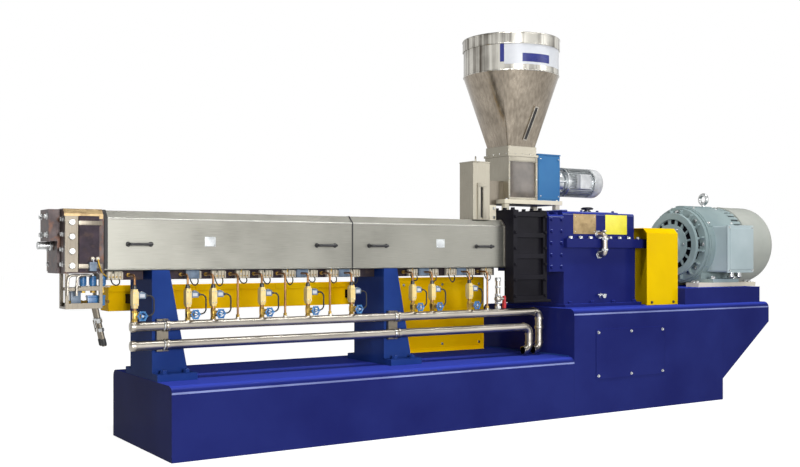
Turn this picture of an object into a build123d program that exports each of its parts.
from build123d import *
import os

# Twin-screw plastic extruder on a welded steel bed, in millimetres.
# X runs from the die to the drive motor, Y from the operator's side to the back, Z is up.
# The origin lies on the floor, under the middle of the bed's foot.

# Bed
BED_LENGTH = 4000
BED_WIDTH = 920
BED_LOW = 370
BED_HIGH = 670
STEP_X = 607
OVERHANG = 500
OVERHANG_LIP = 142
TOE = 146
BED_EDGE = 40
PANEL_X = 1100
PANEL_Z = 378
PANEL_LENGTH = 620
PANEL_HEIGHT = 315
PANEL_THICK = 4

# Barrel line
AXIS_Z = 1085
BARREL_START = -2238
MODULES = 9
MODULE = 277
CORE_WIDTH = 170
CORE_HEIGHT = 150
FLANGE = 25
FLANGE_WIDTH = 230
FLANGE_HEIGHT = 210
HEATER_GAP = 12
HEATER_WIDTH = 250
HEATER_HEIGHT = 230

# Barrel cover
COVER_START = -2235
COVER_SEAM = -817
COVER_WIDTH = 320
COVER_BOTTOM = 929
COVER_TOP = 1228
COVER_BEVEL = 40
COVER_WALL = 3
HANDLE_X = (-2058, -990, -648, 128)
HANDLE_Z = 1060
HANDLE_LENGTH = 130
HANDLE_REACH = 32
HANDLE_BAR = 14
HANDLE_BEND = 12
HANGER_JOINTS = (1, 4, 6, 8)
HANGER_WIDTH = 200
HANGER_THICK = 20

# Columns under the barrel: each one stands under a joint between two barrel modules
COLUMN_DEPTH = 340
COLUMN_FOOT = 190
COLUMN_HEAD = 92
COLUMN_LEFT = 36
COLUMN_JOINTS = (1, 6)
FOOT_PLATE = 35
FOOT_PLATE_DEPTH = 500
FOOT_PLATE_TAIL = 22
SADDLE_DEPTH = 160

# Service rail and terminal blocks under the barrel
RAIL_BOTTOM = 880
RAIL_WIDTH = 200
RAIL_GAP = 22
RAIL_INSET = 30
TERMINAL_LENGTH = 78
TERMINAL_DEPTH = 24
TERMINAL_HEIGHT = 44

# Die end
DIE_LENGTH = 192
DIE_WIDTH = 320
DIE_BOTTOM = 915
DIE_TOP = 1230
DIE_BEVEL = 22
BLOCK_REACH = 54
BLOCK_LOWER_REACH = 14
BLOCK_STEP_Z = 1073
BLOCK_WIDTH = 160
ROD_DIAMETER = 36
ROD_REACH = 71
ROD_Z = 1052
CLAMP_LENGTH = 62
CLAMP_THICK = 18
CLAMP_HEIGHT = 280
HEATER_PANEL_LENGTH = 98
HEATER_PANEL_START = 27
HEATER_PANEL_HEIGHT = 281
PANEL_MARGIN = 8

# Valve rack under the die
RACK_BAR = 16
RACK_LENGTH = 180
RACK_INSET = 7
RACK_FRONT = -150
RACK_BACK = -50
RACK_UPPER_Z = 838
RACK_LOWER_Z = 762
COIL_DIAMETER = 36
COIL_HEIGHT = 60
COIL_PITCH = 48
COIL_COUNT = 3
COIL_START = 99
COIL_PLATE_THICK = 6
RACK_BOX_STARTS = (37, 119)
RACK_BOX_LENGTHS = (48, 85)
RACK_BOX_HEIGHTS = (76, 52)
RACK_BOX_DEPTH = 36
TRAY_THICK = 12
SPOUT_DIAMETER = 22
SPOUT_DROP = 190
SPOUT_SWING = 46
SPOUT_INSET = 26
SPOUT_SPACING = 42

# Lantern housing between barrel and gearbox
LANTERN_START = 300
LANTERN_LENGTH = 275
LANTERN_WIDTH = 480
LANTERN_BOTTOM = 720
LANTERN_TOP = 1280
LANTERN_RIBS = 5
LANTERN_RIB = 30
LANTERN_RECESS = 24
LANTERN_MARGIN = 30
LANTERN_APRON_TOP = 925
LANTERN_APRON_DEPTH = 90
SPIGOT_WIDTH = 240
SPIGOT_HEIGHT = 220

# Gearbox
DISTRIBUTION_LENGTH = 125
DISTRIBUTION_BOTTOM = 900
DISTRIBUTION_TOP = 1265
GEARBOX_LENGTH = 645
GEARBOX_WIDTH = 520
GEARBOX_FOOT = 20
GEARBOX_FOOT_LIP = 30
GEARBOX_SPLIT = 1055
GEARBOX_FLANGE = 60
GEARBOX_FLANGE_LIP = 30
GEARBOX_LUG = 85
GEARBOX_UPPER_WIDTH = 500
GEARBOX_TOP = 1285
GEARBOX_EDGE = 14
OIL_TUBE_X = 1008
OIL_TUBE_DIAMETER = 36
OIL_TUBE_CLEAR = 8
OIL_TUBE_LOW = 1010
OIL_TUBE_HIGH = 1145
OIL_TUBE_BEND = 24

# Coupling and its guard
INPUT_CAP_DIAMETER = 190
INPUT_CAP_THICK = 30
INPUT_CAP_CLEAR = 20
SHAFT_DIAMETER = 80
HUB_DIAMETER = 176
HUB_LENGTH = 70
HUB_GAP = 14
HUB_X = 1450
GUARD_START = 1355
GUARD_LENGTH = 300
GUARD_WIDTH = 720
GUARD_TOP = 1190
GUARD_BEVEL = 35
GUARD_WALL = 4
GUARD_END_CLEAR = 6
GUARD_SLOT_CLEAR = 15
SLEEVE_CLEAR = 11
SLEEVE_LAP = 15
SLEEVE_FLANGE = 300
SLEEVE_FLANGE_THICK = 8

# Drive motor
PEDESTAL_START = 1660
PEDESTAL_LENGTH = 790
PEDESTAL_WIDTH = 840
MOTOR_RAIL_START = 1935
MOTOR_RAIL_LENGTH = 620
MOTOR_RAIL_WIDTH = 115
MOTOR_RAIL_HEIGHT = 30
MOTOR_RAIL_SPREAD = 490
MOTOR_START = 1990
SHIELD_LENGTH = 90
SHIELD_RING_STEP = 48
SHIELD_RING_THICK = 24
SHIELD_NECK_STEP = 78
SHIELD_RIM_STEP = 10
SHIELD_RIM_THICK = 26
FRAME_LENGTH = 310
FRAME_DIAMETER = 560
FRAME_CLEAR = 25
LOUVRE_LENGTH = 90
LOUVRE_STEP = 12
FAN_COVER_LENGTH = 340
FAN_COVER_LIP = 5
FAN_COVER_ROUND = 75
FOOT_THICK = 26
FOOT_SPREAD = 590
FOOT_LENGTH = 280
FOOT_WEB = 380
TERMINAL_BOX_START = 2140
TERMINAL_BOX_LENGTH = 275
TERMINAL_BOX_BOTTOM = 885
TERMINAL_BOX_TOP = 1218
TERMINAL_BOX_PROUD = 100
TERMINAL_BOX_SUNK = 120
TERMINAL_BOX_EDGE = 14
EYE_X = 2340
EYE_RING = 34
EYE_BAR = 13
EYE_SHANK = 28
EYE_HEIGHT = 62

# Feeder over the lantern
FEEDER_X = 476
STAND_START = 310
STAND_LENGTH = 485
STAND_WIDTH = 280
STAND_BOTTOM = 1335
STAND_TOP = 1362
LEG = 34
LEG_INSET = 12
FEEDER_BOX = 240
FEEDER_BOX_TOP = 1640
WINDOW_MARGIN = 16
WINDOW_DEPTH = 8
DRIVE_BOX_START = 604
DRIVE_BOX_LENGTH = 190
DRIVE_BOX_WIDTH = 240
DRIVE_BOX_TOP = 1665
DRIVE_BOX_EDGE = 8
FEEDER_AXIS_Z = 1500
FEEDER_GEAR_LENGTH = 100
FEEDER_GEAR_DIAMETER = 170
FEEDER_MOTOR_LENGTH = 250
FEEDER_MOTOR_DIAMETER = 200
FEEDER_FAN_LENGTH = 85
FEEDER_FAN_ROUND = 40
FEEDER_TERMINAL = 92
FEEDER_TERMINAL_REACH = 130
CHUTE_START = 202
CHUTE_LENGTH = 94
CHUTE_WIDTH = 140
CHUTE_TOP = 1325
SPOUT_BOX_START = 215
SPOUT_BOX_TOP = 1480

# Hopper
NECK_FLANGE = 252
NECK_FLANGE_THICK = 15
NECK = 232
NECK_TOP = 1707
HOPPER_WALL = 3
HOPPER_DIAMETER = 620
CONE_TOP = 2165
HOPPER_TOP = 2400
RIM_HEIGHT = 70
RIM_LIP = 6
CORNER = 20

# Side box on the barrel cover
SIDE_BOX_START = 68
SIDE_BOX_LENGTH = 130
SIDE_BOX_FRONT = -130
SIDE_BOX_DEPTH = 140
SIDE_BOX_TOP = 1590
SIDE_SLOT_WIDTH = 18
SIDE_SLOT_HEIGHT = 190
SIDE_SLOT_DEPTH = 14
SIDE_SLOT_RAISE = 14

# Cooling water manifolds
PIPE_DIAMETER = 48
PIPE_Y = -210
PIPE_START = -2120
UPPER_PIPE_Z = 648
UPPER_PIPE_END = 535
LOWER_PIPE_Z = 552
LOWER_PIPE_END = 452
PIPE_BEND = 42
PIPE_DROP_Z = 405
PIPE_STUB = 52
CLAMP_PLATE_WIDTH = 60
CLAMP_PLATE_MARGIN = 34
CLAMP_PLATE_LAP = 12

# Cooling valve sets on the upper manifold: some under joints, some under module middles
VALVE_JOINTS = (2, 3, 4, 5, 7, 8)
VALVE_MIDDLES = (0, 1, 6)
RETURN_MIDDLES = (2, 3, 4, 8)
RISER_DIAMETER = 20
VALVE_BODY_LENGTH = 50
VALVE_BODY_DEPTH = 40
VALVE_BODY_HEIGHT = 34
VALVE_BODY_Z = 702
BLOCK_BOTTOM = 740
VALVE_BLOCK = 30
VALVE_BLOCK_DEPTH = 40
VALVE_BLOCK_HEIGHT = 95
WHEEL_DIAMETER = 54
WHEEL_THICK = 14
WHEEL_OFFSET = 25
SPINDLE_DIAMETER = 12
SPINDLE_LENGTH = 18
COIL_BOX_LENGTH = 44
COIL_BOX_DEPTH = 36
COIL_BOX_HEIGHT = 30
COIL_BOX_Z = 802
LEAD_DIAMETER = 8
LEAD_REACH = 40
LEAD_BEND = 26
TUBE_DIAMETER = 12
TUBE_TOP = 905
TUBE_BEND = 24

# Sampling valve at the feed end of the upper manifold
SAMPLE_X = 200
SAMPLE_DIAMETER = 30
SAMPLE_TOP = 865
SAMPLE_BALL = 46
SAMPLE_ARM_Z = 735
SAMPLE_ARM_DIAMETER = 18
SAMPLE_ARM_REACH = 42
LEVER_LENGTH = 78
LEVER_WIDTH = 18
LEVER_THICK = 14

# Cable duct and cabinet along the back
DUCT_START = -2070
DUCT_DEPTH = 140
DUCT_BOTTOM = 700
DUCT_TOP = 835
CABINET_START = -200
CABINET_END = 500
CABINET_TOP = 858
BRACKET_WIDTH = 50
BRACKET_HEIGHT = 50

# Places that follow from the sizes above
bed_start = -BED_LENGTH / 2
bed_end = BED_LENGTH / 2
barrel_end = BARREL_START + MODULES * MODULE
barrel_joints = [BARREL_START + index * MODULE for index in range(MODULES + 1)]
barrel_middles = [BARREL_START + (index + 0.5) * MODULE for index in range(MODULES)]
cover_front = -COVER_WIDTH / 2
column_joints = [barrel_joints[index] for index in COLUMN_JOINTS]
column_bottom = BED_LOW + FOOT_PLATE
column_front = -COLUMN_DEPTH / 2
flange_bottom = AXIS_Z - FLANGE_HEIGHT / 2
heater_bottom = AXIS_Z - HEATER_HEIGHT / 2
rail_front = -RAIL_WIDTH / 2
die_start = BARREL_START - DIE_LENGTH
die_front = -DIE_WIDTH / 2
rack_start = die_start + RACK_INSET
lantern_end = LANTERN_START + LANTERN_LENGTH
gearbox_start = lantern_end + DISTRIBUTION_LENGTH
gearbox_end = gearbox_start + GEARBOX_LENGTH
flange_top = GEARBOX_SPLIT + GEARBOX_FLANGE
flange_front = -(GEARBOX_WIDTH / 2 + GEARBOX_FLANGE_LIP)
frame_radius = FRAME_DIAMETER / 2
pedestal_top = AXIS_Z - frame_radius - FRAME_CLEAR
motor_floor = pedestal_top + MOTOR_RAIL_HEIGHT
frame_start = MOTOR_START + SHIELD_LENGTH
frame_end = frame_start + FRAME_LENGTH
fan_start = frame_end + LOUVRE_LENGTH
stand_end = STAND_START + STAND_LENGTH
feeder_left = FEEDER_X - FEEDER_BOX / 2
feeder_gear_start = DRIVE_BOX_START + DRIVE_BOX_LENGTH
feeder_motor_start = feeder_gear_start + FEEDER_GEAR_LENGTH
feeder_fan_start = feeder_motor_start + FEEDER_MOTOR_LENGTH
neck_bottom = FEEDER_BOX_TOP + NECK_FLANGE_THICK
duct_front = BED_WIDTH / 2 - DUCT_DEPTH
valve_places = [barrel_joints[index] for index in VALVE_JOINTS]
valve_places += [barrel_middles[index] for index in VALVE_MIDDLES]
return_places = [barrel_middles[index] for index in RETURN_MIDDLES]

os.makedirs("parts", exist_ok=True)


def slab(x, y, z, mode=Mode.ADD):
    """A box between three pairs of limits, in the part that is being built."""
    middle = ((x[0] + x[1]) / 2, (y[0] + y[1]) / 2, (z[0] + z[1]) / 2)
    with Locations(middle):
        Box(x[1] - x[0], y[1] - y[0], z[1] - z[0], mode=mode)


def bar(start, end, diameter, mode=Mode.ADD):
    """A round bar from one point to another, in the part that is being built."""
    run = Vector(*end) - Vector(*start)
    with Locations(Plane(origin=start, z_dir=run)):
        Cylinder(diameter / 2, run.length, align=(Align.CENTER, Align.CENTER, Align.MIN), mode=mode)


def centred(size):
    """The two limits of a size that lies evenly about zero."""
    return (-size / 2, size / 2)


def hood(start, end, width, bottom, top, bevel, wall):
    """A folded sheet hood along X: open below and at both ends, with bevelled top edges."""
    inner_bevel = bevel - wall * (2 - 2 ** 0.5)
    with BuildPart() as sheet:
        with BuildSketch(Plane.YZ.offset(start)):
            with BuildSketch(mode=Mode.PRIVATE) as outer:
                with Locations((0, bottom)):
                    Rectangle(width, top - bottom, align=(Align.CENTER, Align.MIN))
                chamfer(outer.vertices().group_by(Axis.Y)[-1], bevel)
            with BuildSketch(mode=Mode.PRIVATE) as inner:
                with Locations((0, bottom)):
                    Rectangle(width - 2 * wall, top - wall - bottom, align=(Align.CENTER, Align.MIN))
                chamfer(inner.vertices().group_by(Axis.Y)[-1], inner_bevel)
            add(outer.sketch)
            add(inner.sketch, mode=Mode.SUBTRACT)
        extrude(amount=end - start)
    return sheet


def bed_section(start, end, height):
    """One straight length of the bed, with its long top edges rounded."""
    with BuildPart() as length:
        with BuildSketch(Plane.YZ.offset(start)) as section:
            Rectangle(BED_WIDTH, height, align=(Align.CENTER, Align.MIN))
            fillet(section.vertices().group_by(Axis.Y)[-1], BED_EDGE)
        extrude(amount=end - start)
    return length


def column(joint):
    """A barrel support: foot plate, box column with one leaning side, and a saddle on top."""
    left = joint - COLUMN_LEFT
    with BuildPart() as post:
        with BuildSketch(Plane.XZ):
            with BuildLine():
                Polyline(
                    (left, column_bottom),
                    (left + COLUMN_FOOT, column_bottom),
                    (left + COLUMN_HEAD, COVER_BOTTOM),
                    (left, COVER_BOTTOM),
                    close=True,
                )
            make_face()
        extrude(amount=COLUMN_DEPTH / 2, both=True)
        slab(
            (left, left + COLUMN_FOOT + FOOT_PLATE_TAIL),
            centred(FOOT_PLATE_DEPTH),
            (BED_LOW, column_bottom),
        )
        slab((joint - FLANGE, joint + FLANGE), centred(SADDLE_DEPTH), (COVER_BOTTOM, flange_bottom))
    return post


def manifold(height, end):
    """A water pipe along the bed that drops at the feed end and turns back in a short stub."""
    with BuildPart() as pipe:
        with BuildLine() as route:
            FilletPolyline(
                (PIPE_START, PIPE_Y, height),
                (end, PIPE_Y, height),
                (end, PIPE_Y, PIPE_DROP_Z),
                (end - PIPE_STUB, PIPE_Y, PIPE_DROP_Z),
                radius=PIPE_BEND,
            )
        with BuildSketch(Plane(origin=route.line @ 0, z_dir=route.line % 0)):
            Circle(PIPE_DIAMETER / 2)
        sweep()
    return pipe


# Bed: low length under the barrel, tall length under the drive, raked end under the motor
bed_low = bed_section(bed_start, STEP_X, BED_LOW)
bed_low.part.label = "bed_low"
export_step(bed_low.part, "parts/bed_low.step")

bed_high = bed_section(STEP_X, bed_end, BED_HIGH)
bed_high.part.label = "bed_high"
export_step(bed_high.part, "parts/bed_high.step")

with BuildPart() as bed_overhang:
    with BuildSketch(Plane.XZ):
        with BuildLine():
            Polyline(
                (bed_end, TOE),
                (bed_end + OVERHANG, BED_HIGH - OVERHANG_LIP),
                (bed_end + OVERHANG, BED_HIGH),
                (bed_end, BED_HIGH),
                close=True,
            )
        make_face()
    extrude(amount=BED_WIDTH / 2, both=True)
    fillet(bed_overhang.edges().filter_by(Axis.X).group_by(Axis.Z)[-1], BED_EDGE)
bed_overhang.part.label = "bed_overhang"
export_step(bed_overhang.part, "parts/bed_overhang.step")

with BuildPart() as access_panel:
    with BuildSketch(Plane.XZ.offset(BED_WIDTH / 2)):
        with Locations((PANEL_X, PANEL_Z)):
            Rectangle(PANEL_LENGTH, PANEL_HEIGHT)
    extrude(amount=PANEL_THICK)
access_panel.part.label = "access_panel"
export_step(access_panel.part, "parts/access_panel.step")

# Columns
column_die_end = column(column_joints[0])
column_die_end.part.label = "column_die_end"
export_step(column_die_end.part, "parts/column_die_end.step")

column_feed_end = column(column_joints[1])
column_feed_end.part.label = "column_feed_end"
export_step(column_feed_end.part, "parts/column_feed_end.step")

# Barrel: one core with a bolted flange at each end of every module
with BuildPart() as barrel:
    slab(
        (BARREL_START, barrel_end),
        centred(CORE_WIDTH),
        (AXIS_Z - CORE_HEIGHT / 2, AXIS_Z + CORE_HEIGHT / 2),
    )
    for joint in barrel_joints:
        slab(
            (max(joint - FLANGE, BARREL_START), min(joint + FLANGE, barrel_end)),
            centred(FLANGE_WIDTH),
            (flange_bottom, AXIS_Z + FLANGE_HEIGHT / 2),
        )
barrel.part.label = "barrel"
export_step(barrel.part, "parts/barrel.step")

with BuildPart() as barrel_heaters:
    for joint in barrel_joints[:-1]:
        slab(
            (joint + FLANGE + HEATER_GAP, joint + MODULE - FLANGE - HEATER_GAP),
            centred(HEATER_WIDTH),
            (heater_bottom, AXIS_Z + HEATER_HEIGHT / 2),
        )
    slab(
        (BARREL_START, barrel_end),
        centred(CORE_WIDTH),
        (AXIS_Z - CORE_HEIGHT / 2, AXIS_Z + CORE_HEIGHT / 2),
        mode=Mode.SUBTRACT,
    )
barrel_heaters.part.label = "barrel_heaters"
export_step(barrel_heaters.part, "parts/barrel_heaters.step")

# Service rail: three lengths that stop short of the columns
rail_stops = [BARREL_START + RAIL_INSET]
for joint in column_joints:
    rail_stops.append(joint - COLUMN_LEFT - RAIL_GAP)
    rail_stops.append(joint - COLUMN_LEFT + COLUMN_HEAD + RAIL_GAP)
rail_stops.append(barrel_end)
rail_lengths = list(zip(rail_stops[0::2], rail_stops[1::2]))

with BuildPart() as service_rail:
    for limits in rail_lengths:
        slab(limits, centred(RAIL_WIDTH), (RAIL_BOTTOM, heater_bottom))
service_rail.part.label = "service_rail"
export_step(service_rail.part, "parts/service_rail.step")

with BuildPart() as terminal_blocks:
    for joint in barrel_joints[:-1]:
        for place in (joint + MODULE / 4, joint + 3 * MODULE / 4):
            limits = (place - TERMINAL_LENGTH / 2, place + TERMINAL_LENGTH / 2)
            if any(start <= limits[0] and limits[1] <= end for start, end in rail_lengths):
                slab(
                    limits,
                    (rail_front - TERMINAL_DEPTH, rail_front),
                    (RAIL_BOTTOM, RAIL_BOTTOM + TERMINAL_HEIGHT),
                )
terminal_blocks.part.label = "terminal_blocks"
export_step(terminal_blocks.part, "parts/terminal_blocks.step")

# Barrel cover: two lift-off sheet sections, carried by plates on the barrel flanges
cover_sizes = (COVER_WIDTH, COVER_BOTTOM, COVER_TOP, COVER_BEVEL, COVER_WALL)
cover_long = hood(COVER_START, COVER_SEAM, *cover_sizes)
cover_long.part.label = "cover_long"
export_step(cover_long.part, "parts/cover_long.step")

cover_short = hood(COVER_SEAM, LANTERN_START, *cover_sizes)
cover_short.part.label = "cover_short"
export_step(cover_short.part, "parts/cover_short.step")

with BuildPart() as cover_handles:
    for place in HANDLE_X:
        left = place - (HANDLE_LENGTH - HANDLE_BAR) / 2
        right = place + (HANDLE_LENGTH - HANDLE_BAR) / 2
        out = cover_front - HANDLE_REACH
        with BuildLine() as grip:
            FilletPolyline(
                (left, cover_front, HANDLE_Z),
                (left, out, HANDLE_Z),
                (right, out, HANDLE_Z),
                (right, cover_front, HANDLE_Z),
                radius=HANDLE_BEND,
            )
        with BuildSketch(Plane(origin=grip.line @ 0, z_dir=grip.line % 0)):
            Circle(HANDLE_BAR / 2)
        sweep(path=grip.line)
    mirror(about=Plane.XZ)
cover_handles.part.label = "cover_handles"
export_step(cover_handles.part, "parts/cover_handles.step")

with BuildPart() as cover_hangers:
    for index in HANGER_JOINTS:
        slab(
            (barrel_joints[index] - HANGER_THICK / 2, barrel_joints[index] + HANGER_THICK / 2),
            centred(HANGER_WIDTH),
            (AXIS_Z + FLANGE_HEIGHT / 2, COVER_TOP - COVER_WALL),
        )
cover_hangers.part.label = "cover_hangers"
export_step(cover_hangers.part, "parts/cover_hangers.step")

# Die end
with BuildPart() as die_body:
    slab((die_start, BARREL_START), centred(DIE_WIDTH), (DIE_BOTTOM, DIE_TOP))
    chamfer(die_body.edges().filter_by(Axis.X).group_by(Axis.Z)[-1], DIE_BEVEL)
die_body.part.label = "die_body"
export_step(die_body.part, "parts/die_body.step")

with BuildPart() as die_block:
    slab((die_start - BLOCK_REACH, die_start), centred(BLOCK_WIDTH), (BLOCK_STEP_Z, DIE_TOP))
    slab((die_start - BLOCK_LOWER_REACH, die_start), centred(BLOCK_WIDTH), (DIE_BOTTOM, BLOCK_STEP_Z))
    rod_root = die_start - BLOCK_LOWER_REACH
    bar((rod_root, 0, ROD_Z), (rod_root - ROD_REACH, 0, ROD_Z), ROD_DIAMETER)
die_block.part.label = "die_block"
export_step(die_block.part, "parts/die_block.step")

with BuildPart() as die_clamp_bars:
    slab(
        (die_start, die_start + CLAMP_LENGTH),
        (die_front - CLAMP_THICK, die_front),
        (DIE_BOTTOM + PANEL_MARGIN, DIE_BOTTOM + CLAMP_HEIGHT),
    )
    mirror(about=Plane.XZ)
die_clamp_bars.part.label = "die_clamp_bars"
export_step(die_clamp_bars.part, "parts/die_clamp_bars.step")

with BuildPart() as die_heater_panels:
    panel_end = BARREL_START - HEATER_PANEL_START
    slab(
        (panel_end - HEATER_PANEL_LENGTH, panel_end),
        (die_front - CLAMP_THICK, die_front),
        (DIE_BOTTOM + PANEL_MARGIN, DIE_BOTTOM + HEATER_PANEL_HEIGHT),
    )
    mirror(about=Plane.XZ)
die_heater_panels.part.label = "die_heater_panels"
export_step(die_heater_panels.part, "parts/die_heater_panels.step")

# Valve rack: rails and uprights of bar hung from the die, with a coil plate and a tray
rack_end = rack_start + RACK_LENGTH
with BuildPart() as valve_rack:
    for across in (RACK_FRONT, RACK_BACK):
        depth = (across - RACK_BAR / 2, across + RACK_BAR / 2)
        for along in (rack_start, rack_end - RACK_BAR):
            slab((along, along + RACK_BAR), depth, (RACK_LOWER_Z, DIE_BOTTOM))
        for height in (RACK_UPPER_Z, RACK_LOWER_Z):
            slab((rack_start, rack_end), depth, (height - RACK_BAR / 2, height + RACK_BAR / 2))
    tray_top = RACK_LOWER_Z - RACK_BAR / 2
    plate_foot = RACK_UPPER_Z + RACK_BAR / 2
    coil_foot = plate_foot + COIL_PLATE_THICK
    rack_depth = (RACK_FRONT - RACK_BAR / 2, RACK_BACK + RACK_BAR / 2)
    coil_middle = rack_start + COIL_START + COIL_PITCH * (COIL_COUNT - 1) / 2
    plate_reach = COIL_PITCH * COIL_COUNT / 2
    slab((rack_start, rack_end), rack_depth, (tray_top - TRAY_THICK, tray_top))
    slab((coil_middle - plate_reach, coil_middle + plate_reach), rack_depth, (plate_foot, coil_foot))
valve_rack.part.label = "valve_rack"
export_step(valve_rack.part, "parts/valve_rack.step")

with BuildPart() as rack_coils:
    rack_middle = (RACK_FRONT + RACK_BACK) / 2
    for index in range(COIL_COUNT):
        place = rack_start + COIL_START + index * COIL_PITCH
        bar((place, rack_middle, coil_foot), (place, rack_middle, coil_foot + COIL_HEIGHT), COIL_DIAMETER)
    for start, length, height in zip(RACK_BOX_STARTS, RACK_BOX_LENGTHS, RACK_BOX_HEIGHTS):
        slab(
            (rack_start + start, rack_start + start + length),
            (rack_middle - RACK_BOX_DEPTH / 2, rack_middle + RACK_BOX_DEPTH / 2),
            (tray_top, tray_top + height),
        )
rack_coils.part.label = "rack_coils"
export_step(rack_coils.part, "parts/rack_coils.step")

with BuildPart() as drain_spouts:
    spout_top = tray_top - TRAY_THICK
    for side in (-1, 1):
        across = rack_middle + side * SPOUT_SPACING / 2
        root = rack_end - SPOUT_INSET
        bar(
            (root, across, spout_top + SPOUT_DIAMETER),
            (root + SPOUT_SWING, across, spout_top - SPOUT_DROP),
            SPOUT_DIAMETER,
        )
    slab(
        (rack_start, rack_end + SPOUT_SWING),
        (RACK_FRONT, RACK_BACK),
        (spout_top, spout_top + 2 * SPOUT_DIAMETER),
        mode=Mode.SUBTRACT,
    )
drain_spouts.part.label = "drain_spouts"
export_step(drain_spouts.part, "parts/drain_spouts.step")

# Lantern housing: ribbed on both sides, with a square spigot that takes the barrel.
# Below the barrel only a front apron is left, and the room behind it is open.
lantern_side = LANTERN_WIDTH / 2
lantern_recesses = (
    (-lantern_side, LANTERN_RECESS - lantern_side),
    (lantern_side - LANTERN_RECESS, lantern_side),
)
recess_pitch = (LANTERN_TOP - LANTERN_BOTTOM - LANTERN_RIB) / (LANTERN_RIBS - 1)
with BuildPart() as lantern_housing:
    slab((LANTERN_START, lantern_end), centred(LANTERN_WIDTH), (LANTERN_BOTTOM, LANTERN_TOP))
    slab(
        (barrel_end, LANTERN_START),
        centred(SPIGOT_WIDTH),
        (AXIS_Z - SPIGOT_HEIGHT / 2, AXIS_Z + SPIGOT_HEIGHT / 2),
    )
    for index in range(LANTERN_RIBS - 1):
        foot = LANTERN_BOTTOM + LANTERN_RIB + index * recess_pitch
        for across in lantern_recesses:
            slab(
                (LANTERN_START + LANTERN_MARGIN, lantern_end - LANTERN_MARGIN),
                across,
                (foot, foot + recess_pitch - LANTERN_RIB),
                mode=Mode.SUBTRACT,
            )
    slab(
        (LANTERN_START, lantern_end),
        (LANTERN_APRON_DEPTH - lantern_side, lantern_side),
        (LANTERN_BOTTOM, LANTERN_APRON_TOP),
        mode=Mode.SUBTRACT,
    )
lantern_housing.part.label = "lantern_housing"
export_step(lantern_housing.part, "parts/lantern_housing.step")

# Gearbox
with BuildPart() as distribution_box:
    slab((lantern_end, gearbox_start), centred(GEARBOX_WIDTH), (DISTRIBUTION_BOTTOM, DISTRIBUTION_TOP))
    fillet(distribution_box.edges().filter_by(Axis.X).group_by(Axis.Z)[-1], GEARBOX_EDGE)
distribution_box.part.label = "distribution_box"
export_step(distribution_box.part, "parts/distribution_box.step")

with BuildPart() as gearbox_lower:
    slab(
        (gearbox_start - GEARBOX_FOOT_LIP / 2, gearbox_end + GEARBOX_FOOT_LIP),
        centred(GEARBOX_WIDTH + 2 * GEARBOX_FOOT_LIP),
        (BED_HIGH, BED_HIGH + GEARBOX_FOOT),
    )
    slab((gearbox_start, gearbox_end), centred(GEARBOX_WIDTH), (BED_HIGH + GEARBOX_FOOT, GEARBOX_SPLIT))
    slab(
        (gearbox_start, gearbox_end + GEARBOX_LUG),
        centred(-2 * flange_front),
        (GEARBOX_SPLIT, flange_top),
    )
    slab(
        (gearbox_end, gearbox_end + GEARBOX_LUG),
        centred(INPUT_CAP_DIAMETER + 2 * INPUT_CAP_CLEAR),
        (GEARBOX_SPLIT, flange_top),
        mode=Mode.SUBTRACT,
    )
gearbox_lower.part.label = "gearbox_lower"
export_step(gearbox_lower.part, "parts/gearbox_lower.step")

with BuildPart() as gearbox_upper:
    slab((gearbox_start, gearbox_end), centred(GEARBOX_UPPER_WIDTH), (flange_top, GEARBOX_TOP))
    fillet(gearbox_upper.edges().filter_by(Axis.X).group_by(Axis.Z)[-1], GEARBOX_EDGE)
gearbox_upper.part.label = "gearbox_upper"
export_step(gearbox_upper.part, "parts/gearbox_upper.step")

with BuildPart() as oil_level_tube:
    tube_y = flange_front - OIL_TUBE_CLEAR - OIL_TUBE_DIAMETER / 2
    with BuildLine() as tube_route:
        FilletPolyline(
            (OIL_TUBE_X, -GEARBOX_UPPER_WIDTH / 2, OIL_TUBE_HIGH),
            (OIL_TUBE_X, tube_y, OIL_TUBE_HIGH),
            (OIL_TUBE_X, tube_y, OIL_TUBE_LOW),
            (OIL_TUBE_X, -GEARBOX_WIDTH / 2, OIL_TUBE_LOW),
            radius=OIL_TUBE_BEND,
        )
    with BuildSketch(Plane(origin=tube_route.line @ 0, z_dir=tube_route.line % 0)):
        Circle(OIL_TUBE_DIAMETER / 2)
    sweep()
oil_level_tube.part.label = "oil_level_tube"
export_step(oil_level_tube.part, "parts/oil_level_tube.step")

# Coupling: bearing cap, shaft and two hubs, turned as one profile about the drive axis
with BuildPart() as coupling:
    cap_end = gearbox_end + INPUT_CAP_THICK
    bar((gearbox_end, 0, AXIS_Z), (cap_end, 0, AXIS_Z), INPUT_CAP_DIAMETER)
    bar((cap_end, 0, AXIS_Z), (MOTOR_START, 0, AXIS_Z), SHAFT_DIAMETER)
    for place in (HUB_X, HUB_X + HUB_LENGTH + HUB_GAP):
        bar((place, 0, AXIS_Z), (place + HUB_LENGTH, 0, AXIS_Z), HUB_DIAMETER)
coupling.part.label = "coupling"
export_step(coupling.part, "parts/coupling.step")

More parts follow.
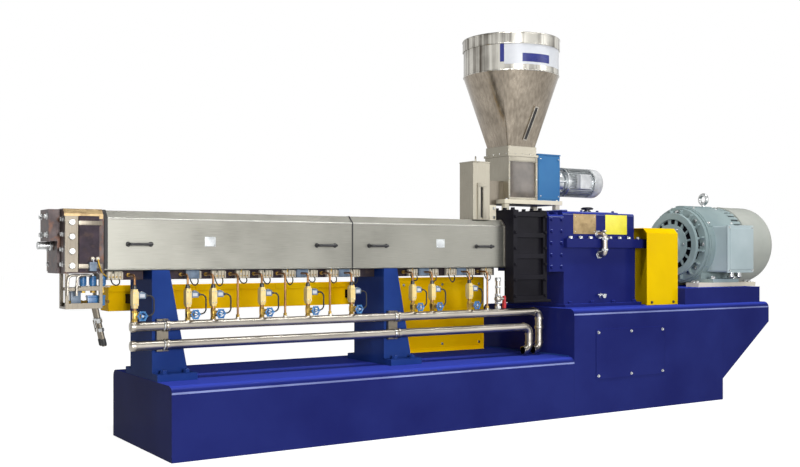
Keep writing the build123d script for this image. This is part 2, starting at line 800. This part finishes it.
# Coupling guard: a hood with an end sheet behind the gearbox lugs, slotted to drop over the shaft
with BuildPart() as coupling_guard:
    add(
        hood(
            GUARD_START,
            GUARD_START + GUARD_LENGTH,
            GUARD_WIDTH,
            BED_HIGH,
            GUARD_TOP,
            GUARD_BEVEL,
            GUARD_WALL,
        ).part
    )
    with BuildSketch(Plane.YZ.offset(gearbox_end + GEARBOX_LUG + GUARD_END_CLEAR)) as end_sheet:
        with Locations((0, BED_HIGH)):
            Rectangle(GUARD_WIDTH, GUARD_TOP - BED_HIGH, align=(Align.CENTER, Align.MIN))
        chamfer(end_sheet.vertices().group_by(Axis.Y)[-1], GUARD_BEVEL)
        with Locations((0, BED_HIGH)):
            Rectangle(
                SHAFT_DIAMETER + 2 * GUARD_SLOT_CLEAR,
                AXIS_Z + SHAFT_DIAMETER / 2 + GUARD_SLOT_CLEAR - BED_HIGH,
                align=(Align.CENTER, Align.MIN),
                mode=Mode.SUBTRACT,
            )
    extrude(amount=GUARD_WALL)
coupling_guard.part.label = "coupling_guard"
export_step(coupling_guard.part, "parts/coupling_guard.step")

# Shaft guard: a sheet sleeve with a flange that bolts to the motor
with BuildPart() as shaft_guard:
    sleeve_start = GUARD_START + GUARD_LENGTH - SLEEVE_LAP
    flange_start = MOTOR_START - SLEEVE_FLANGE_THICK
    sleeve_diameter = 2 * (GUARD_TOP - GUARD_WALL - SLEEVE_CLEAR - AXIS_Z)
    bar((sleeve_start, 0, AXIS_Z), (MOTOR_START, 0, AXIS_Z), sleeve_diameter)
    bar((flange_start, 0, AXIS_Z), (MOTOR_START, 0, AXIS_Z), SLEEVE_FLANGE)
    bar(
        (sleeve_start, 0, AXIS_Z),
        (MOTOR_START, 0, AXIS_Z),
        sleeve_diameter - 2 * GUARD_WALL,
        mode=Mode.SUBTRACT,
    )
shaft_guard.part.label = "shaft_guard"
export_step(shaft_guard.part, "parts/shaft_guard.step")

# Motor
with BuildPart() as motor_pedestal:
    slab(
        (PEDESTAL_START, PEDESTAL_START + PEDESTAL_LENGTH),
        centred(PEDESTAL_WIDTH),
        (BED_HIGH, pedestal_top),
    )
motor_pedestal.part.label = "motor_pedestal"
export_step(motor_pedestal.part, "parts/motor_pedestal.step")

with BuildPart() as motor_rails:
    for side in (-1, 1):
        middle = side * MOTOR_RAIL_SPREAD / 2
        slab(
            (MOTOR_RAIL_START, MOTOR_RAIL_START + MOTOR_RAIL_LENGTH),
            (middle - MOTOR_RAIL_WIDTH / 2, middle + MOTOR_RAIL_WIDTH / 2),
            (pedestal_top, motor_floor),
        )
motor_rails.part.label = "motor_rails"
export_step(motor_rails.part, "parts/motor_rails.step")

with BuildPart() as motor_frame:
    bar((frame_start, 0, AXIS_Z), (frame_end, 0, AXIS_Z), FRAME_DIAMETER)
    bar((frame_end, 0, AXIS_Z), (fan_start, 0, AXIS_Z), FRAME_DIAMETER - 2 * LOUVRE_STEP)
    foot_start = (frame_start + frame_end - FOOT_LENGTH) / 2
    foot_limits = (foot_start, foot_start + FOOT_LENGTH)
    slab(foot_limits, centred(FOOT_SPREAD), (motor_floor, motor_floor + FOOT_THICK))
    slab(foot_limits, centred(FOOT_WEB), (motor_floor + FOOT_THICK, AXIS_Z))
motor_frame.part.label = "motor_frame"
export_step(motor_frame.part, "parts/motor_frame.step")

with BuildPart() as motor_drive_shield:
    ring_end = MOTOR_START + SHIELD_RING_THICK
    rim_start = frame_start - SHIELD_RIM_THICK
    bar((MOTOR_START, 0, AXIS_Z), (ring_end, 0, AXIS_Z), FRAME_DIAMETER - 2 * SHIELD_RING_STEP)
    bar((ring_end, 0, AXIS_Z), (rim_start, 0, AXIS_Z), FRAME_DIAMETER - 2 * SHIELD_NECK_STEP)
    bar((rim_start, 0, AXIS_Z), (frame_start, 0, AXIS_Z), FRAME_DIAMETER - 2 * SHIELD_RIM_STEP)
motor_drive_shield.part.label = "motor_drive_shield"
export_step(motor_drive_shield.part, "parts/motor_drive_shield.step")

with BuildPart() as motor_fan_cover:
    fan_cover_end = fan_start + FAN_COVER_LENGTH
    fan_cover_diameter = FRAME_DIAMETER + 2 * FAN_COVER_LIP
    bar((fan_start, 0, AXIS_Z), (fan_cover_end, 0, AXIS_Z), fan_cover_diameter)
    fillet(motor_fan_cover.edges().filter_by(GeomType.CIRCLE).sort_by(Axis.X)[-1], FAN_COVER_ROUND)
motor_fan_cover.part.label = "motor_fan_cover"
export_step(motor_fan_cover.part, "parts/motor_fan_cover.step")

with BuildPart() as motor_terminal_box:
    slab(
        (TERMINAL_BOX_START, TERMINAL_BOX_START + TERMINAL_BOX_LENGTH),
        (-frame_radius - TERMINAL_BOX_PROUD, TERMINAL_BOX_SUNK - frame_radius),
        (TERMINAL_BOX_BOTTOM, TERMINAL_BOX_TOP),
    )
    fillet(motor_terminal_box.edges().filter_by(Axis.Y), TERMINAL_BOX_EDGE)
    bar((frame_start, 0, AXIS_Z), (fan_start, 0, AXIS_Z), FRAME_DIAMETER, mode=Mode.SUBTRACT)
    add(motor_frame.part, mode=Mode.SUBTRACT)
motor_terminal_box.part.label = "motor_terminal_box"
export_step(motor_terminal_box.part, "parts/motor_terminal_box.step")

with BuildPart() as motor_eyebolt:
    eye_middle = AXIS_Z + frame_radius + EYE_HEIGHT
    bar((EYE_X, 0, AXIS_Z), (EYE_X, 0, eye_middle - EYE_RING), EYE_SHANK)
    with Locations(Plane(origin=(EYE_X, 0, eye_middle), z_dir=(1, 0, 0))):
        Torus(EYE_RING, EYE_BAR)
    bar((frame_start, 0, AXIS_Z), (frame_end, 0, AXIS_Z), FRAME_DIAMETER, mode=Mode.SUBTRACT)
motor_eyebolt.part.label = "motor_eyebolt"
export_step(motor_eyebolt.part, "parts/motor_eyebolt.step")

# Feeder stand: plate on four legs, two on the lantern housing and two on the gearbox
with BuildPart() as feeder_stand:
    slab((STAND_START, stand_end), centred(STAND_WIDTH), (STAND_BOTTOM, STAND_TOP))
    leg_places = (
        (STAND_START + LEG_INSET, LANTERN_TOP),
        (stand_end - LEG_INSET - LEG, GEARBOX_TOP),
    )
    leg_middle = STAND_WIDTH / 2 - LEG_INSET - LEG / 2
    for along, foot in leg_places:
        for across in (-leg_middle, leg_middle):
            slab((along, along + LEG), (across - LEG / 2, across + LEG / 2), (foot, STAND_BOTTOM))
feeder_stand.part.label = "feeder_stand"
export_step(feeder_stand.part, "parts/feeder_stand.step")

with BuildPart() as chute_block:
    slab((CHUTE_START, CHUTE_START + CHUTE_LENGTH), centred(CHUTE_WIDTH), (COVER_TOP, CHUTE_TOP))
chute_block.part.label = "chute_block"
export_step(chute_block.part, "parts/chute_block.step")

with BuildPart() as discharge_spout:
    slab((SPOUT_BOX_START, feeder_left), centred(CHUTE_WIDTH), (STAND_TOP, SPOUT_BOX_TOP))
    slab((SPOUT_BOX_START, CHUTE_START + CHUTE_LENGTH), centred(CHUTE_WIDTH), (CHUTE_TOP, STAND_TOP))
discharge_spout.part.label = "discharge_spout"
export_step(discharge_spout.part, "parts/discharge_spout.step")

with BuildPart() as feeder_box:
    slab(
        (feeder_left, feeder_left + FEEDER_BOX),
        centred(FEEDER_BOX),
        (STAND_TOP, FEEDER_BOX_TOP),
    )
    slab(
        (feeder_left + WINDOW_MARGIN, feeder_left + FEEDER_BOX - WINDOW_MARGIN),
        (-FEEDER_BOX / 2, WINDOW_DEPTH - FEEDER_BOX / 2),
        (STAND_TOP + WINDOW_MARGIN, FEEDER_BOX_TOP - 2 * WINDOW_MARGIN),
        mode=Mode.SUBTRACT,
    )
feeder_box.part.label = "feeder_box"
export_step(feeder_box.part, "parts/feeder_box.step")

with BuildPart() as feeder_drive_box:
    slab(
        (DRIVE_BOX_START, DRIVE_BOX_START + DRIVE_BOX_LENGTH),
        centred(DRIVE_BOX_WIDTH),
        (STAND_TOP, DRIVE_BOX_TOP),
    )
    fillet(feeder_drive_box.edges().filter_by(Axis.Z), DRIVE_BOX_EDGE)
feeder_drive_box.part.label = "feeder_drive_box"
export_step(feeder_drive_box.part, "parts/feeder_drive_box.step")

with BuildPart() as feeder_motor:
    fan_end = feeder_fan_start + FEEDER_FAN_LENGTH
    bar((feeder_motor_start, 0, FEEDER_AXIS_Z), (fan_end, 0, FEEDER_AXIS_Z), FEEDER_MOTOR_DIAMETER)
    fillet(feeder_motor.edges().filter_by(GeomType.CIRCLE).sort_by(Axis.X)[-1], FEEDER_FAN_ROUND)
    bar(
        (feeder_gear_start, 0, FEEDER_AXIS_Z),
        (feeder_motor_start, 0, FEEDER_AXIS_Z),
        FEEDER_GEAR_DIAMETER,
    )
    box_middle = (feeder_motor_start + feeder_fan_start) / 2
    slab(
        (box_middle - FEEDER_TERMINAL / 2, box_middle + FEEDER_TERMINAL / 2),
        (-FEEDER_TERMINAL_REACH, 0),
        (FEEDER_AXIS_Z - FEEDER_TERMINAL / 2, FEEDER_AXIS_Z + FEEDER_TERMINAL / 2),
    )
feeder_motor.part.label = "feeder_motor"
export_step(feeder_motor.part, "parts/feeder_motor.step")

# Hopper: flanged square neck, square-to-round cone and a round top with its rim band
with BuildPart() as hopper_neck:
    with BuildSketch(Plane.XY.offset(FEEDER_BOX_TOP)):
        with Locations((FEEDER_X, 0)):
            Rectangle(NECK_FLANGE, NECK_FLANGE)
    extrude(amount=NECK_FLANGE_THICK)
    with BuildSketch(Plane.XY.offset(neck_bottom)):
        with Locations((FEEDER_X, 0)):
            Rectangle(NECK, NECK)
            Rectangle(NECK - 2 * HOPPER_WALL, NECK - 2 * HOPPER_WALL, mode=Mode.SUBTRACT)
    extrude(amount=NECK_TOP - neck_bottom)
hopper_neck.part.label = "hopper_neck"
export_step(hopper_neck.part, "parts/hopper_neck.step")

with BuildPart() as hopper_cone:
    for inset, mode in ((0, Mode.ADD), (HOPPER_WALL, Mode.SUBTRACT)):
        with BuildSketch(Plane.XY.offset(NECK_TOP)):
            with Locations((FEEDER_X, 0)):
                RectangleRounded(NECK - 2 * inset, NECK - 2 * inset, CORNER - inset)
        with BuildSketch(Plane.XY.offset(CONE_TOP)):
            with Locations((FEEDER_X, 0)):
                Circle(HOPPER_DIAMETER / 2 - inset)
        loft(mode=mode)
hopper_cone.part.label = "hopper_cone"
export_step(hopper_cone.part, "parts/hopper_cone.step")

with BuildPart() as hopper_top:
    with BuildSketch(Plane.XY.offset(CONE_TOP)):
        with Locations((FEEDER_X, 0)):
            Circle(HOPPER_DIAMETER / 2)
            Circle(HOPPER_DIAMETER / 2 - HOPPER_WALL, mode=Mode.SUBTRACT)
    extrude(amount=HOPPER_TOP - CONE_TOP)
    with BuildSketch(Plane.XY.offset(HOPPER_TOP - RIM_HEIGHT)):
        with Locations((FEEDER_X, 0)):
            Circle(HOPPER_DIAMETER / 2 + RIM_LIP)
            Circle(HOPPER_DIAMETER / 2 - HOPPER_WALL, mode=Mode.SUBTRACT)
    extrude(amount=RIM_HEIGHT)
hopper_top.part.label = "hopper_top"
export_step(hopper_top.part, "parts/hopper_top.step")

with BuildPart() as side_box:
    side_back = SIDE_BOX_FRONT + SIDE_BOX_DEPTH
    side_middle = SIDE_BOX_START + SIDE_BOX_LENGTH / 2
    slab(
        (SIDE_BOX_START, SIDE_BOX_START + SIDE_BOX_LENGTH),
        (SIDE_BOX_FRONT, side_back),
        (COVER_TOP, SIDE_BOX_TOP),
    )
    slab(
        (side_middle - SIDE_SLOT_WIDTH / 2, side_middle + SIDE_SLOT_WIDTH / 2),
        (SIDE_BOX_FRONT, SIDE_BOX_FRONT + SIDE_SLOT_DEPTH),
        (COVER_TOP + SIDE_SLOT_RAISE, COVER_TOP + SIDE_SLOT_RAISE + SIDE_SLOT_HEIGHT),
        mode=Mode.SUBTRACT,
    )
side_box.part.label = "side_box"
export_step(side_box.part, "parts/side_box.step")

# Cooling water manifolds, held on the columns
upper_manifold = manifold(UPPER_PIPE_Z, UPPER_PIPE_END)
upper_manifold.part.label = "upper_manifold"
export_step(upper_manifold.part, "parts/upper_manifold.step")

lower_manifold = manifold(LOWER_PIPE_Z, LOWER_PIPE_END)
lower_manifold.part.label = "lower_manifold"
export_step(lower_manifold.part, "parts/lower_manifold.step")

with BuildPart() as manifold_clamps:
    for joint in column_joints:
        middle = joint - COLUMN_LEFT + COLUMN_HEAD / 2
        slab(
            (middle - CLAMP_PLATE_WIDTH / 2, middle + CLAMP_PLATE_WIDTH / 2),
            (PIPE_Y + CLAMP_PLATE_LAP, column_front),
            (LOWER_PIPE_Z - CLAMP_PLATE_MARGIN, UPPER_PIPE_Z + CLAMP_PLATE_MARGIN),
        )
    for height, end in ((UPPER_PIPE_Z, UPPER_PIPE_END), (LOWER_PIPE_Z, LOWER_PIPE_END)):
        bar((PIPE_START, PIPE_Y, height), (end, PIPE_Y, height), PIPE_DIAMETER, mode=Mode.SUBTRACT)
manifold_clamps.part.label = "manifold_clamps"
export_step(manifold_clamps.part, "parts/manifold_clamps.step")

# Cooling valve sets: riser with a hand valve, valve block, plug and lead, and a tube to the rail
with BuildPart() as valve_risers:
    for place in valve_places:
        bar((place, PIPE_Y, UPPER_PIPE_Z), (place, PIPE_Y, BLOCK_BOTTOM), RISER_DIAMETER)
        slab(
            (place - RISER_DIAMETER / 2, place - RISER_DIAMETER / 2 + VALVE_BODY_LENGTH),
            (PIPE_Y - VALVE_BODY_DEPTH / 2, PIPE_Y + VALVE_BODY_DEPTH / 2),
            (VALVE_BODY_Z - VALVE_BODY_HEIGHT / 2, VALVE_BODY_Z + VALVE_BODY_HEIGHT / 2),
        )
    bar(
        (PIPE_START, PIPE_Y, UPPER_PIPE_Z),
        (UPPER_PIPE_END, PIPE_Y, UPPER_PIPE_Z),
        PIPE_DIAMETER,
        mode=Mode.SUBTRACT,
    )
valve_risers.part.label = "valve_risers"
export_step(valve_risers.part, "parts/valve_risers.step")

block_top = BLOCK_BOTTOM + VALVE_BLOCK_HEIGHT
with BuildPart() as valve_blocks:
    for place in valve_places:
        slab(
            (place - VALVE_BLOCK / 2, place + VALVE_BLOCK / 2),
            (PIPE_Y - VALVE_BLOCK_DEPTH / 2, PIPE_Y + VALVE_BLOCK_DEPTH / 2),
            (BLOCK_BOTTOM, block_top),
        )
valve_blocks.part.label = "valve_blocks"
export_step(valve_blocks.part, "parts/valve_blocks.step")

with BuildPart() as valve_wheels:
    body_front = PIPE_Y - VALVE_BODY_DEPTH / 2
    wheel_back = body_front - SPINDLE_LENGTH
    wheel_front = wheel_back - WHEEL_THICK
    for place in valve_places:
        along = place + WHEEL_OFFSET
        bar((along, body_front, VALVE_BODY_Z), (along, wheel_back, VALVE_BODY_Z), SPINDLE_DIAMETER)
        bar((along, wheel_back, VALVE_BODY_Z), (along, wheel_front, VALVE_BODY_Z), WHEEL_DIAMETER)
valve_wheels.part.label = "valve_wheels"
export_step(valve_wheels.part, "parts/valve_wheels.step")

with BuildPart() as valve_plugs:
    for place in valve_places:
        slab(
            (place + VALVE_BLOCK / 2, place + VALVE_BLOCK / 2 + COIL_BOX_LENGTH),
            (PIPE_Y - COIL_BOX_DEPTH / 2, PIPE_Y + COIL_BOX_DEPTH / 2),
            (COIL_BOX_Z - COIL_BOX_HEIGHT / 2, COIL_BOX_Z + COIL_BOX_HEIGHT / 2),
        )
valve_plugs.part.label = "valve_plugs"
export_step(valve_plugs.part, "parts/valve_plugs.step")

with BuildPart() as valve_leads:
    for place in valve_places:
        lead_start = place + VALVE_BLOCK / 2 + COIL_BOX_LENGTH
        lead_end = place - RISER_DIAMETER / 2 + VALVE_BODY_LENGTH
        with BuildLine() as lead_route:
            FilletPolyline(
                (lead_start, PIPE_Y, COIL_BOX_Z),
                (lead_start + LEAD_REACH, PIPE_Y, COIL_BOX_Z),
                (lead_start + LEAD_REACH, PIPE_Y, VALVE_BODY_Z),
                (lead_end, PIPE_Y, VALVE_BODY_Z),
                radius=LEAD_BEND,
            )
        with BuildSketch(Plane(origin=lead_route.line @ 0, z_dir=lead_route.line % 0)):
            Circle(LEAD_DIAMETER / 2)
        sweep(path=lead_route.line)
valve_leads.part.label = "valve_leads"
export_step(valve_leads.part, "parts/valve_leads.step")

with BuildPart() as cooling_tubes:
    tube_feet = [(place, block_top) for place in valve_places]
    tube_feet += [(place, UPPER_PIPE_Z) for place in return_places]
    for place, foot in tube_feet:
        with BuildLine() as rise:
            FilletPolyline(
                (place, PIPE_Y, foot),
                (place, PIPE_Y, TUBE_TOP),
                (place, rail_front, TUBE_TOP),
                radius=TUBE_BEND,
            )
        with BuildSketch(Plane(origin=rise.line @ 0, z_dir=rise.line % 0)):
            Circle(TUBE_DIAMETER / 2)
        sweep(path=rise.line)
    bar(
        (PIPE_START, PIPE_Y, UPPER_PIPE_Z),
        (UPPER_PIPE_END, PIPE_Y, UPPER_PIPE_Z),
        PIPE_DIAMETER,
        mode=Mode.SUBTRACT,
    )
cooling_tubes.part.label = "cooling_tubes"
export_step(cooling_tubes.part, "parts/cooling_tubes.step")

# Sampling valve with its lever
arm_end = SAMPLE_X + SAMPLE_ARM_REACH
with BuildPart() as sample_valve:
    bar((SAMPLE_X, PIPE_Y, UPPER_PIPE_Z), (SAMPLE_X, PIPE_Y, SAMPLE_TOP), SAMPLE_DIAMETER)
    with Locations((SAMPLE_X, PIPE_Y, SAMPLE_ARM_Z)):
        Sphere(SAMPLE_BALL / 2)
    bar((SAMPLE_X, PIPE_Y, SAMPLE_ARM_Z), (arm_end, PIPE_Y, SAMPLE_ARM_Z), SAMPLE_ARM_DIAMETER)
    bar(
        (PIPE_START, PIPE_Y, UPPER_PIPE_Z),
        (UPPER_PIPE_END, PIPE_Y, UPPER_PIPE_Z),
        PIPE_DIAMETER,
        mode=Mode.SUBTRACT,
    )
sample_valve.part.label = "sample_valve"
export_step(sample_valve.part, "parts/sample_valve.step")

with BuildPart() as sample_lever:
    lever_top = SAMPLE_ARM_Z + LEVER_WIDTH
    slab(
        (arm_end, arm_end + LEVER_THICK),
        (PIPE_Y - LEVER_WIDTH / 2, PIPE_Y + LEVER_WIDTH / 2),
        (lever_top - LEVER_LENGTH, lever_top),
    )
    fillet(sample_lever.edges().filter_by(Axis.X), LEVER_WIDTH / 3)
sample_lever.part.label = "sample_lever"
export_step(sample_lever.part, "parts/sample_lever.step")

# Cable duct behind the columns, and the cabinet that it runs into
with BuildPart() as cable_duct:
    slab((DUCT_START, CABINET_START), (duct_front, BED_WIDTH / 2), (DUCT_BOTTOM, DUCT_TOP))
cable_duct.part.label = "cable_duct"
export_step(cable_duct.part, "parts/cable_duct.step")

with BuildPart() as cable_cabinet:
    slab((CABINET_START, CABINET_END), (duct_front, BED_WIDTH / 2), (BED_HIGH, CABINET_TOP))
    slab((CABINET_START, CABINET_END), (duct_front, BED_WIDTH / 2 - BED_EDGE), (BED_LOW, BED_HIGH))
cable_cabinet.part.label = "cable_cabinet"
export_step(cable_cabinet.part, "parts/cable_cabinet.step")

with BuildPart() as duct_brackets:
    bracket_middle = (DUCT_BOTTOM + DUCT_TOP) / 2
    for joint in column_joints:
        middle = joint - COLUMN_LEFT + COLUMN_HEAD / 2
        slab(
            (middle - BRACKET_WIDTH / 2, middle + BRACKET_WIDTH / 2),
            (COLUMN_DEPTH / 2, duct_front),
            (bracket_middle - BRACKET_HEIGHT / 2, bracket_middle + BRACKET_HEIGHT / 2),
        )
duct_brackets.part.label = "duct_brackets"
export_step(duct_brackets.part, "parts/duct_brackets.step")
